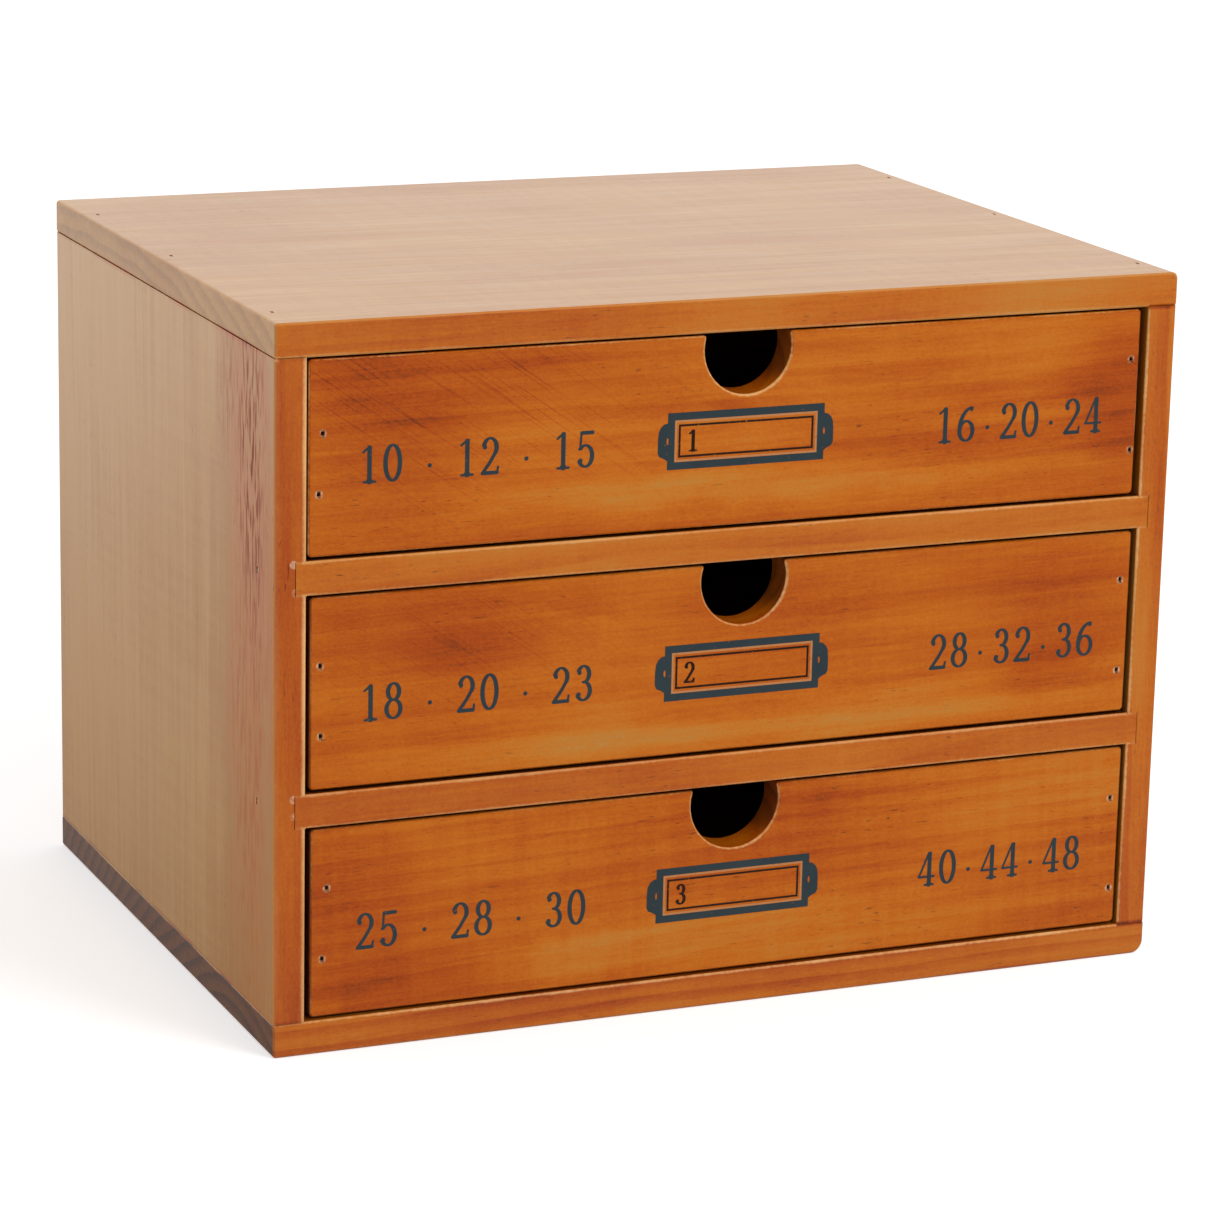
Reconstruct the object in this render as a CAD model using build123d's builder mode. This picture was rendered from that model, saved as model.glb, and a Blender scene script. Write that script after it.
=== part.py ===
"""A small pine cabinet with three drawers for buttons.

Millimetres. X runs across the drawer fronts, -Y is the front and Z is up.
The origin is the middle of the underside.
"""

from build123d import *
import os

# Driving dimensions
WIDTH = 255
DEPTH = 193
BOARD = 9  # top, bottom, shelves and drawer fronts
SIDE = 8.5  # the two uprights
BAY = 52  # clear height of one drawer's bay
PLY = 3  # case back and drawer bottoms
SHELVES = ["lower_shelf", "upper_shelf"]
DRAWERS = ["bottom_drawer", "middle_drawer", "top_drawer"]

# Joints of the case
HOUSING = 3  # depth of the groove in each side that takes a shelf's end
GLUE_GAP = 0.2  # left at the bottom of a housing or groove
REBATE = 4  # width of the rebate in each side that takes the back

# Drawers
DRAWER_WIDTH = 235.6
DRAWER_MIDDLES = [0.4, 0, -0.6]  # the drawers are fitted by hand, a little off the middle
FRONT_HEIGHT = 50.6
FRONT_LIFT = 0.7  # gap below a drawer front
SETBACK = 0.8  # drawer front behind the face of the case
DRAWER_SIDE = 6
SIDE_HEIGHT = 46
GROOVE = 3  # depth of the groove for the drawer bottom
GROOVE_LIFT = 4  # wood left below that groove
BACK_PLAY = 0.5  # between a shut drawer and the case back

# Finger notches, bored by eye with a 25 mm bit near the upper edge, lowest drawer first
NOTCH_RADII = [12.7, 12.2, 12.3]
NOTCH_DROPS = [4.3, 4.5, 3.8]  # their centres below the upper edge
NOTCH_SHIFTS = [1.1, 2.3, 2.2]  # their centres right of the middle
NOTCH_HORN = 0.8  # easing of the two points beside a notch

# Eased edges
ARRIS = 0.5  # sanded off round the face of a board
SEAM = 0.7  # long edges of the top and bottom that lie on the sides
CORNER = 0.9  # long outer edges of the top and bottom, left
SANDED_TOP = 1.8  # the same, upper right
SANDED_BOTTOM = 3.5  # the same, lower right, sanded rounder still
UPRIGHT_EDGE = 1  # outer edges of the sides
DRAWER_CORNER = 1.2  # corners of the drawer fronts

# Brads from a nail gun: a flat shank with a head that is wider one way
BRAD_WIDTH = 1.25
BRAD_THICKNESS = 1
HEAD_WIDTH = 2
HEAD_DEPTH = 0.8
HEAD_SET = 0.5  # how far a head is punched below the wood
LONG_BRAD = 20
SHORT_BRAD = 15

# Where the brads go
TOP_ROW = [15, 98, 166]  # behind the front edge
SHELF_BRAD = 13.5  # behind the front edge
BACK_COLUMN = [30, 96, 162]  # above the base
SHELF_BACK_BRADS = [-60, 60]  # along a shelf
BACK_ROW = [12, 30]  # above a drawer back's lower edge
BOTTOM_ROW = [-80, 0, 80]  # along a drawer back

# Brads through the drawer fronts, lowest drawer first: how far each is to the right of the
# middle of the drawer side, and how far below the front's upper edge
LEFT_FRONT_BRADS = [
    [(1.5, 16), (0.3, 35)],
    [(-0.2, 18), (0, 36.5)],
    [(0.8, 19), (-0.2, 34.5)],
]
RIGHT_FRONT_BRADS = [
    [(0, 14.5), (0.9, 40.5)],
    [(0, 13.5), (0.3, 39)],
    [(0.5, 13.5), (1.5, 38.5)],
]

# Worked out from the above
HEIGHT = 4 * BOARD + 3 * BAY
FRONT = -DEPTH / 2
REAR = DEPTH / 2
OPENING = WIDTH - 2 * SIDE
INSIDE_REAR = REAR - PLY
BAY_FLOORS = [BOARD + index * (BAY + BOARD) for index in range(3)]
SHELF_FLOORS = [floor + BAY for floor in BAY_FLOORS[:2]]
SIDE_MIDDLE = WIDTH / 2 - SIDE / 2
DRAWER_FACE = FRONT + SETBACK
DRAWER_FRONT_BACK = DRAWER_FACE + BOARD
DRAWER_REAR = INSIDE_REAR - BACK_PLAY
DRAWER_HALF = DRAWER_WIDTH / 2
DRAWER_SIDE_MIDDLE = DRAWER_HALF - DRAWER_SIDE / 2
BOTTOM_TOP = GROOVE_LIFT + PLY

UP = (0, 0, 1)
DOWN = (0, 0, -1)
RIGHT = (1, 0, 0)
FORWARD = (0, -1, 0)
BACKWARD = (0, 1, 0)


def save(piece, name):
    """Label a finished piece and write it."""
    piece.part.label = name
    export_step(piece.part, f"parts/{name}.step")
    print(name, round(piece.part.volume), "mm3")


# Brads


def brad_places(heads, outward, across):
    """For each brad, a plane on the wood's surface that faces out of the wood."""
    return [Plane(origin=head, x_dir=across, z_dir=outward) for head in heads]


def drive(places, length, head_top, mode):
    """A head and a shank below each place, starting head_top under the surface."""
    for place in places:
        with BuildSketch(place.offset(-head_top)) as head:
            Rectangle(HEAD_WIDTH, BRAD_THICKNESS)
        extrude(head.sketch, amount=head_top - HEAD_SET - HEAD_DEPTH, mode=mode)
        with BuildSketch(place.offset(-HEAD_SET - HEAD_DEPTH)) as shank:
            Rectangle(BRAD_WIDTH, BRAD_THICKNESS)
        extrude(shank.sketch, amount=HEAD_SET + HEAD_DEPTH - length, mode=mode)


def pierce(places, length):
    """The hole that each brad leaves, open at the surface above its head."""
    drive(places, length, 0, Mode.SUBTRACT)


def save_brads(name, places, length):
    with BuildPart() as brads:
        drive(places, length, HEAD_SET, Mode.ADD)
    save(brads, name)


def top_brad_places():
    heads = [
        (hand * SIDE_MIDDLE, FRONT + y, HEIGHT) for hand in (-1, 1) for y in TOP_ROW
    ]
    return brad_places(heads, UP, BACKWARD)


def bottom_brad_places():
    heads = [(hand * SIDE_MIDDLE, FRONT + y, 0) for hand in (-1, 1) for y in TOP_ROW]
    return brad_places(heads, DOWN, BACKWARD)


def side_brad_places(hand):
    heads = [
        (hand * WIDTH / 2, FRONT + SHELF_BRAD, floor + BOARD / 2)
        for floor in SHELF_FLOORS
    ]
    return brad_places(heads, (hand, 0, 0), UP)


def back_brad_places():
    rebate_middle = OPENING / 2 + REBATE / 2
    heads = [
        (hand * rebate_middle, REAR, z) for hand in (-1, 1) for z in BACK_COLUMN
    ]
    heads += [
        (x, REAR, floor + BOARD / 2) for floor in SHELF_FLOORS for x in SHELF_BACK_BRADS
    ]
    return brad_places(heads, BACKWARD, RIGHT)


def drawer_front_brad_places(name, middle, floor):
    index = DRAWERS.index(name)
    upper_edge = floor + FRONT_LIFT + FRONT_HEIGHT
    left = middle - DRAWER_SIDE_MIDDLE
    right = middle + DRAWER_SIDE_MIDDLE
    heads = [(left + x, DRAWER_FACE, upper_edge - z) for x, z in LEFT_FRONT_BRADS[index]]
    heads += [(right + x, DRAWER_FACE, upper_edge - z) for x, z in RIGHT_FRONT_BRADS[index]]
    return brad_places(heads, FORWARD, UP)


def drawer_back_brad_places(middle, floor, hand):
    x = middle + hand * DRAWER_HALF
    y = DRAWER_REAR - DRAWER_SIDE / 2
    heads = [(x, y, floor + BOTTOM_TOP + z) for z in BACK_ROW]
    return brad_places(heads, (hand, 0, 0), UP)


def drawer_bottom_brad_places(middle, floor):
    y = DRAWER_REAR - DRAWER_SIDE / 2
    heads = [(middle + x, y, floor + GROOVE_LIFT) for x in BOTTOM_ROW]
    return brad_places(heads, DOWN, RIGHT)


# The case


def top_panel():
    """The top board, drawn as its end seen from the front."""
    with BuildPart() as panel:
        with BuildSketch(Plane.XZ.offset(-REAR)):
            with Locations((0, HEIGHT - BOARD / 2)):
                Rectangle(WIDTH, BOARD)
            fillet(vertices().group_by(Axis.Y)[-1].sort_by(Axis.X)[-1], SANDED_TOP)
            fillet(vertices().group_by(Axis.Y)[-1].sort_by(Axis.X)[0], CORNER)
            fillet(vertices().group_by(Axis.Y)[0], SEAM)
        extrude(amount=DEPTH)
        chamfer(faces().sort_by(Axis.Y)[0].edges(), ARRIS)
        chamfer(faces().sort_by(Axis.Y)[-1].edges(), ARRIS)
        pierce(top_brad_places(), LONG_BRAD)
    save(panel, "top_panel")


def bottom_panel():
    """The bottom board, with its lower right-hand edge sanded round."""
    with BuildPart() as panel:
        with BuildSketch(Plane.XZ.offset(-REAR)):
            with Locations((0, BOARD / 2)):
                Rectangle(WIDTH, BOARD)
            fillet(vertices().group_by(Axis.Y)[0].sort_by(Axis.X)[-1], SANDED_BOTTOM)
            fillet(vertices().group_by(Axis.Y)[0].sort_by(Axis.X)[0], CORNER)
            fillet(vertices().group_by(Axis.Y)[-1], SEAM)
        extrude(amount=DEPTH)
        chamfer(faces().sort_by(Axis.Y)[0].edges(), ARRIS)
        chamfer(faces().sort_by(Axis.Y)[-1].edges(), ARRIS)
        pierce(bottom_brad_places(), LONG_BRAD)
    save(panel, "bottom_panel")


def upright(name, hand):
    """A side, drawn as its plan: hand is -1 on the left and 1 on the right."""
    with BuildPart() as side:
        with BuildSketch(Plane.XY.offset(BOARD)):
            with Locations((hand * SIDE_MIDDLE, 0)):
                Rectangle(SIDE, DEPTH)
            outer = 0 if hand < 0 else -1
            inner = -1 if hand < 0 else 0
            fillet(vertices().group_by(Axis.X)[outer], UPRIGHT_EDGE)
            fillet(vertices().group_by(Axis.Y)[0].sort_by(Axis.X)[inner], SEAM)
            with Locations((hand * (OPENING / 2 + REBATE / 2), INSIDE_REAR + PLY / 2)):
                Rectangle(REBATE, PLY, mode=Mode.SUBTRACT)
        extrude(amount=HEIGHT - 2 * BOARD)
        for floor in SHELF_FLOORS:
            with BuildSketch(Plane.XY.offset(floor)):
                with Locations((hand * (OPENING / 2 + HOUSING / 2), -PLY / 2)):
                    Rectangle(HOUSING, DEPTH - PLY)
            extrude(amount=BOARD, mode=Mode.SUBTRACT)
        pierce(top_brad_places(), LONG_BRAD)
        pierce(bottom_brad_places(), LONG_BRAD)
        pierce(side_brad_places(hand), LONG_BRAD)
        pierce(back_brad_places(), SHORT_BRAD)
    save(side, name)


def shelf(name, floor):
    """A shelf: its front edges are eased between the sides, its ends stay square."""
    middle_y = -PLY / 2
    with BuildPart() as board:
        with BuildSketch(Plane.YZ):
            with Locations((middle_y, floor + BOARD / 2)):
                Rectangle(DEPTH - PLY, BOARD)
            fillet(vertices().group_by(Axis.X)[0], SEAM)
        extrude(amount=OPENING / 2, both=True)
        for hand in (-1, 1):
            with BuildSketch(Plane.YZ.offset(hand * OPENING / 2)):
                with Locations((middle_y, floor + BOARD / 2)):
                    Rectangle(DEPTH - PLY, BOARD)
            extrude(amount=hand * (HOUSING - GLUE_GAP))
        pierce(side_brad_places(-1), LONG_BRAD)
        pierce(side_brad_places(1), LONG_BRAD)
        pierce(back_brad_places(), SHORT_BRAD)
    save(board, name)


def back_panel():
    """The plywood back, let into the sides and held between the top and bottom."""
    with BuildPart() as panel:
        with BuildSketch(Plane.XZ.offset(-REAR)):
            with Locations((0, HEIGHT / 2)):
                Rectangle(OPENING + 2 * REBATE, HEIGHT - 2 * BOARD)
        extrude(amount=PLY)
        pierce(back_brad_places(), SHORT_BRAD)
    save(panel, "back_panel")


# The drawers


def drawer_front(name, middle, floor):
    """A front board with its notch, grooved behind for the drawer bottom."""
    index = DRAWERS.index(name)
    lower_edge = floor + FRONT_LIFT
    upper_edge = lower_edge + FRONT_HEIGHT
    with BuildPart() as front:
        with BuildSketch(Plane.XZ.offset(-DRAWER_FRONT_BACK)):
            with Locations((middle, (lower_edge + upper_edge) / 2)):
                Rectangle(DRAWER_WIDTH, FRONT_HEIGHT)
            fillet(vertices(), DRAWER_CORNER)
            with Locations((middle + NOTCH_SHIFTS[index], upper_edge - NOTCH_DROPS[index])):
                Circle(NOTCH_RADII[index], mode=Mode.SUBTRACT)
            horns = vertices().group_by(Axis.Y)[-1].sort_by(Axis.X)[1:-1]
            fillet(horns, NOTCH_HORN)
        extrude(amount=BOARD)
        chamfer(faces().sort_by(Axis.Y)[0].edges(), ARRIS)
        with BuildSketch(Plane.XY.offset(floor + GROOVE_LIFT)):
            with Locations((middle, DRAWER_FRONT_BACK - GROOVE / 2)):
                Rectangle(DRAWER_WIDTH - 2 * DRAWER_SIDE + 2 * GROOVE, GROOVE)
        extrude(amount=PLY, mode=Mode.SUBTRACT)
        pierce(drawer_front_brad_places(name, middle, floor), LONG_BRAD)
    save(front, f"{name}_front")


def drawer_side(name, middle, floor, hand):
    """A drawer side, drawn as its section: it runs on its lower edge."""
    board_x = middle + hand * DRAWER_SIDE_MIDDLE
    groove_x = middle + hand * (DRAWER_HALF - DRAWER_SIDE + GROOVE / 2)
    with BuildPart() as side:
        with BuildSketch(Plane.XZ.offset(-DRAWER_REAR)):
            with Locations((board_x, floor + SIDE_HEIGHT / 2)):
                Rectangle(DRAWER_SIDE, SIDE_HEIGHT)
            fillet(vertices(), ARRIS)
            with Locations((groove_x, floor + GROOVE_LIFT + PLY / 2)):
                Rectangle(GROOVE, PLY, mode=Mode.SUBTRACT)
        extrude(amount=DRAWER_REAR - DRAWER_FRONT_BACK)
        pierce(drawer_front_brad_places(name, middle, floor), LONG_BRAD)
        pierce(drawer_back_brad_places(middle, floor, hand), LONG_BRAD)
    side_name = "left_side" if hand < 0 else "right_side"
    save(side, f"{name}_{side_name}")


def drawer_back(name, middle, floor):
    """The back stands on the drawer bottom, between the sides."""
    y = DRAWER_REAR - DRAWER_SIDE / 2
    with BuildPart() as back:
        with BuildSketch(Plane.YZ.offset(middle)):
            with Locations((y, floor + (BOTTOM_TOP + SIDE_HEIGHT) / 2)):
                Rectangle(DRAWER_SIDE, SIDE_HEIGHT - BOTTOM_TOP)
            fillet(vertices().group_by(Axis.Y)[-1], ARRIS)
        extrude(amount=DRAWER_HALF - DRAWER_SIDE, both=True)
        pierce(drawer_back_brad_places(middle, floor, -1), LONG_BRAD)
        pierce(drawer_back_brad_places(middle, floor, 1), LONG_BRAD)
        pierce(drawer_bottom_brad_places(middle, floor), SHORT_BRAD)
    save(back, f"{name}_back")


def drawer_bottom(name, middle, floor):
    """A plywood sheet in the grooves of the front and the sides."""
    front_edge = DRAWER_FRONT_BACK - GROOVE + GLUE_GAP
    width = DRAWER_WIDTH - 2 * DRAWER_SIDE + 2 * GROOVE - 2 * GLUE_GAP
    with BuildPart() as bottom:
        with BuildSketch(Plane.XY.offset(floor + GROOVE_LIFT)):
            with Locations((middle, (front_edge + DRAWER_REAR) / 2)):
                Rectangle(width, DRAWER_REAR - front_edge)
        extrude(amount=PLY)
        pierce(drawer_bottom_brad_places(middle, floor), SHORT_BRAD)
    save(bottom, f"{name}_bottom")


os.makedirs("parts", exist_ok=True)

top_panel()
bottom_panel()
upright("left_side", -1)
upright("right_side", 1)
for shelf_name, shelf_floor in zip(SHELVES, SHELF_FLOORS):
    shelf(shelf_name, shelf_floor)
back_panel()
save_brads("top_brads", top_brad_places(), LONG_BRAD)
save_brads("bottom_brads", bottom_brad_places(), LONG_BRAD)
save_brads("left_side_brads", side_brad_places(-1), LONG_BRAD)
save_brads("right_side_brads", side_brad_places(1), LONG_BRAD)
save_brads("back_brads", back_brad_places(), SHORT_BRAD)

for drawer, x, z in zip(DRAWERS, DRAWER_MIDDLES, BAY_FLOORS):
    drawer_front(drawer, x, z)
    drawer_side(drawer, x, z, -1)
    drawer_side(drawer, x, z, 1)
    drawer_back(drawer, x, z)
    drawer_bottom(drawer, x, z)
    back_places = drawer_back_brad_places(x, z, -1) + drawer_back_brad_places(x, z, 1)
    save_brads(f"{drawer}_front_brads", drawer_front_brad_places(drawer, x, z), LONG_BRAD)
    save_brads(f"{drawer}_back_brads", back_places, LONG_BRAD)
    save_brads(f"{drawer}_bottom_brads", drawer_bottom_brad_places(x, z), SHORT_BRAD)
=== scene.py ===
# %% [markdown]
# # Button storage drawers in stained pine
#
# The real object is a small open-fronted case with three drawers for buttons. It is made of
# thin pine boards, stained orange-brown after it was nailed together, rubbed through on its
# edges and lacquered. The drawers have a dark grey print on their fronts.
#
# The boards come from the CAD model as exact solids, in metres, and this lesson never moves
# them. It gives them their finish, prints the fronts, and sets up the light and the camera.

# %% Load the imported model
import math

import bmesh
import bpy
from mathutils import Matrix, Vector
from mathutils.geometry import convex_hull_2d, delaunay_2d_cdt


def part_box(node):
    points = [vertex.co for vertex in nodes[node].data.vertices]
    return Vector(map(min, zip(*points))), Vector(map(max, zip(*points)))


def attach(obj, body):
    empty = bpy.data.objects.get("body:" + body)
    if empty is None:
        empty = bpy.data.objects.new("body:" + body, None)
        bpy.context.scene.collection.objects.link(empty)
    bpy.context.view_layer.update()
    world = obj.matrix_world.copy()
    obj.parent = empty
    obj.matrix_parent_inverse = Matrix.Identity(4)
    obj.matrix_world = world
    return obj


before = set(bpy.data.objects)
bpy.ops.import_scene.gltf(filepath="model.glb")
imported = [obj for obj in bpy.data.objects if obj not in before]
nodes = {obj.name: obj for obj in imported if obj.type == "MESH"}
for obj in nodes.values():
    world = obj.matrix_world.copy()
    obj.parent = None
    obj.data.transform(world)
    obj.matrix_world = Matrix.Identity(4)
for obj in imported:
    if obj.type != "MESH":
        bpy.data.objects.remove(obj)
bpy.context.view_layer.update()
MM = 0.001


# %% [markdown]
# ## Three helpers
#
# Colours are picked as web colours, which are sRGB. Blender's shaders work in linear
# light, so one function turns the one into the other.
#
# Every node of every material is added by the same small function. It sets the node's
# options and gives each input either a plain value or a link. The third helper starts an
# empty material.

# %% Colours, nodes and materials
def linear(code):
    """The linear colour, with its alpha, of a web colour such as "#C06A20"."""
    shares = [int(code[start:start + 2], 16) / 255 for start in (1, 3, 5)]
    light = [s / 12.92 if s <= 0.04045 else ((s + 0.055) / 1.055) ** 2.4 for s in shares]
    return (*light, 1.0)


def add(tree, kind, inputs=None, **settings):
    """Adds a ShaderNode of a kind. An input is found by number or name among those that show."""
    node = tree.nodes.new("ShaderNode" + kind)
    for name, value in settings.items():
        setattr(node, name, value)
    shown = [socket for socket in node.inputs if socket.enabled]
    for key, value in (inputs or {}).items():
        target = shown[key] if isinstance(key, int) else next(s for s in shown if s.name == key)
        if isinstance(value, bpy.types.Node):
            value = next(s for s in value.outputs if s.enabled)
        if isinstance(value, bpy.types.NodeSocket):
            tree.links.new(value, target)
        else:
            target.default_value = value
    return node


def new_material(name):
    """An empty material with nodes, and its tree."""
    material = bpy.data.materials.new(name)
    material.use_nodes = True
    material.node_tree.nodes.clear()
    return material, material.node_tree


print("stain in linear light:", [round(c, 3) for c in linear("#BE641C")])


# %% [markdown]
# ## The camera
#
# The camera stands where the photographer stood: found from the seven corners of the box that
# show, whose real places are known. It is 1.3 m away with a long lens, so the box's edges
# stay nearly parallel. Its frame is square.

# %% Put the camera where the photographer stood
CAMERA_PLACE = Vector((-477.3, -1123.4, 402.0)) * MM
LOOKING_RIGHT = math.radians(23.263)
LOOKING_DOWN = math.radians(14.568)
ROLL = math.radians(1.271)
LENS = 131.65

camera = bpy.data.objects.new("camera", bpy.data.cameras.new("camera"))
camera.data.lens = LENS
camera.data.sensor_width = 36
camera.data.clip_end = 20
camera.matrix_world = (
    Matrix.Translation(CAMERA_PLACE)
    @ Matrix.Rotation(-LOOKING_RIGHT, 4, "Z")
    @ Matrix.Rotation(math.pi / 2 - LOOKING_DOWN, 4, "X")
    @ Matrix.Rotation(ROLL, 4, "Z")
)
bpy.context.scene.collection.objects.link(camera)
bpy.context.scene.camera = camera
bpy.context.scene.view_settings.view_transform = "Standard"
print("camera", round((CAMERA_PLACE - Vector((0, 0, 0.1))).length, 2), "m away")


# %% [markdown]
# ## Light and floor
#
# A plain studio: pale all round, with one broad soft lamp high on the right, in front. The sum
# of the two is set so that a surface renders in about the colour it was given.
#
# Lacquer mirrors the room, most of all where it is seen at a low angle. Behind the object the
# room is a white backdrop, and its reflection is what makes the top of the box so pale. Where
# the photographer stood the room is dim, so the fronts keep their deep colour.
#
# The floor is a sheet of pale paper that runs up into the backdrop. The camera sees it white,
# by a little glow that keeps the box's soft shadow. In reflections it is dim in front and
# brighter further back, as such a sheet is when the backdrop has lamps of its own.

# %% Light the studio
ROOM_LIGHT = 0.76
DIM_SIDE = 0.06
SIDES_MEET = 0.4  # the dim and the white side of the room blend over this share to each side
LAMP_POWER = 22
LAMP_PLACE = Vector((1.0, -1.6, 1.6))
LAMP_SIZE = 1.2
BOX_MIDDLE = Vector((0, 0, 0.1))

world = bpy.data.worlds.new("white room")
world.use_nodes = True
world.node_tree.nodes.clear()
bpy.context.scene.world = world


def mirrored(tree):
    """1 for what a reflection or a view through glass sees, and 0 for the rest."""
    path = add(tree, "LightPath").outputs
    return add(tree, "Math", {0: path["Is Glossy Ray"], 1: path["Is Transmission Ray"]},
               operation="MAXIMUM")


tree = world.node_tree
on_camera = add(tree, "LightPath").outputs["Is Camera Ray"]
plain = add(tree, "MapRange", {"Value": on_camera, "To Min": ROOM_LIGHT, "To Max": 1.0})
looking = add(tree, "TexCoord").outputs["Generated"]
back = add(tree, "SeparateXYZ", {0: looking}).outputs["Y"]
backdrop = add(tree, "MapRange", {
    "Value": back, "From Min": -SIDES_MEET, "From Max": SIDES_MEET, "To Min": DIM_SIDE})
strength = add(tree, "Mix", {"Factor": mirrored(tree), "A": plain, "B": backdrop})
room = add(tree, "Background", {"Color": (1, 1, 1, 1), "Strength": strength})
add(tree, "OutputWorld", {"Surface": room})

lamp = bpy.data.objects.new("soft lamp", bpy.data.lights.new("soft lamp", "AREA"))
lamp.data.shape = "DISK"
lamp.data.size = LAMP_SIZE
lamp.data.energy = LAMP_POWER
lamp.location = LAMP_PLACE
lamp.rotation_euler = (BOX_MIDDLE - LAMP_PLACE).to_track_quat("-Z", "Y").to_euler()
bpy.context.scene.collection.objects.link(lamp)
lamp.visible_glossy = False  # too soft a lamp to show as a highlight in satin lacquer
print("lamp", LAMP_POWER, "W, room", ROOM_LIGHT)

# %% Lay the floor
FLOOR_HALF = 6
FLOOR_DROP = -0.1 * MM
FLOOR_GLOW = 0.45
DIM_FLOOR = 0.04
BRIGHT_FLOOR_FROM, BRIGHT_FLOOR_TO = -0.35, 1.0

floor_mesh = bpy.data.meshes.new("floor")
floor_mesh.from_pydata(
    [(x * FLOOR_HALF, y * FLOOR_HALF, FLOOR_DROP) for x, y in ((-1, -1), (1, -1), (1, 1), (-1, 1))],
    [], [(0, 1, 2, 3)])
floor = bpy.data.objects.new("floor", floor_mesh)
bpy.context.scene.collection.objects.link(floor)

paper, tree = new_material("white backdrop paper")
sheet = add(tree, "BsdfDiffuse", {"Color": linear("#E8E8E8")})
on_camera = add(tree, "LightPath").outputs["Is Camera Ray"]
glow_strength = add(tree, "Math", {0: on_camera, 1: FLOOR_GLOW}, operation="MULTIPLY")
glow = add(tree, "Emission", {"Strength": glow_strength})
lit_sheet = add(tree, "AddShader", {0: sheet, 1: glow})
spot = add(tree, "TexCoord").outputs["Object"]
back = add(tree, "SeparateXYZ", {0: spot}).outputs["Y"]
brightness = add(tree, "MapRange", {
    "Value": back, "From Min": BRIGHT_FLOOR_FROM, "From Max": BRIGHT_FLOOR_TO, "To Min": DIM_FLOOR})
mirrored_sheet = add(tree, "Emission", {"Strength": brightness})
paper_look = add(tree, "MixShader", {0: mirrored(tree), 1: lit_sheet, 2: mirrored_sheet})
add(tree, "OutputMaterial", {"Surface": paper_look})
floor_mesh.materials.append(paper)
print("paper floor", 2 * FLOOR_HALF, "m wide")


# %% [markdown]
# ## How stained pine looks
#
# Plain-sawn pine shows pale early wood and darker late wood: narrow stripes where the board
# is cut along the rings, arches where it is cut near the heart, and arcs on its ends. A
# water-based orange-brown stain hides most of that. It soaks in unevenly, so the fronts are
# cloudy, redder where more was taken up, and it sinks deep into end grain. Satin lacquer
# seals it. Sanding after the stain rubbed the edges back to pale wood.
#
# All boards were stained in one go, so one node group holds that finish. It works in
# millimetres, with X along the grain. The noise layers below are named for what they draw,
# and each has the length and width that the real thing has. Fibres are drawn about twice as
# coarse as they are, because real ones would be too fine to see.

# %% The stain's colours and the sizes in the grain
STAIN = (
    (0.00, "#CC9550"), (0.18, "#BC7E33"), (0.28, "#C47722"), (0.45, "#C4690D"),
    (0.60, "#BA5A05"), (0.78, "#AB4703"), (1.00, "#74300C"),
)
END_GRAIN_STAIN = linear("#3E2818")
PORE_STAIN = linear("#4E2109")
# painted shade for the gaps between the drawers and the case
GAP_SHADE_BROWN = linear("#2B1409")
RUBBED_WOOD = linear("#EDB877")
CRUMB = linear("#E8C8A4")

GRAIN_LAYERS = {  # length along the grain and width across it, in mm, and how much fine detail
    "clouds": (75, 30, 3),
    "bands": (190, 9, 2),
    "streaks": (60, 1.4, 3),
    "fibres": (8, 0.5, 2),
    "dashes": (10, 1.3, 4),
    "specks": (0.9, 0.7, 1),
    "pores": (3.5, 0.5, 1),
    "chatter": (2.6, 70, 1),
    "sway": (170, 60, 2),
}
TONE_SWINGS = {"clouds": 0.13, "bands": 0.07, "streaks": 0.045, "fibres": 0.045, "specks": 0.045}
RELIEF = {"streaks": 0.02, "fibres": 0.014, "specks": 0.01}  # in mm

RING_PITCH = 5.0
RING_WANDER = 10.0
LATE_WOOD = (0.25, 0.88, 0.90)  # where in a year's ring it starts, is darkest and begins to end
SCRATCH_SLOPE = math.radians(-36)
SCRATCH_SIZE = (45, 0.55)
CRUMB_SPACING = 11.0
CRUMB_SIZE = 0.45
print(len(GRAIN_LAYERS), "layers of grain")

# %% How strongly each mark shows
NOISE_SPAN = {"From Min": 0.3, "From Max": 0.7}  # nearly all of a noise lies between these
PRESSURE_SPAN = {"From Min": 0.35, "From Max": 0.65}
FADES_IN = {  # a mark comes up between these two levels of its noise
    "dashes": (0.47, 0.60),
    "scratches": (0.54, 0.68),
    "pores": (0.69, 0.76),
    "pore fields": (0.40, 0.62),
}
RUN_TONE, RUN_SHADE = 0.5, 0.5
SCRATCH_TONE, SCRATCH_DEPTH = 0.22, -0.02
PORE_SHADE, PORE_DEPTH = 0.6, -0.04
LATE_WOOD_SOAK = 0.14
INSIDE_SHADE = 0.85
EDGE_RAGS, EDGE_CORE = 0.14, 0.15  # mm that a rubbed edge wavers by, and that it is fully bare for
WORN_WIDTHS = (0.7, 1.1)  # from where the sanding block pressed least to where it pressed most
WORN_SHARES = (0.6, 1.0)
CRUMB_OPACITY, SMALLEST_CRUMB = 0.7, 0.025
FILLER_RING = (1.25, 0.95)  # mm from a brad's middle to where its filler ends and is whole
FILLER_OPACITY = (0.05, 0.5)
SATIN = (0.30, 0.40)  # the lacquer's roughness
WORN_DULLS, END_GRAIN_DULLS = 0.15, 0.08
print("satin lacquer, roughness", SATIN)


# %% The finish of every stained board, as one node group
PINE_INPUTS = ("Tone", "Figure", "Rings", "End grain", "Soak", "Edge", "Worn width", "Wear and groove light", "Inside",
               "Scratches", "Runs", "Chatter", "Brad")


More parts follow.
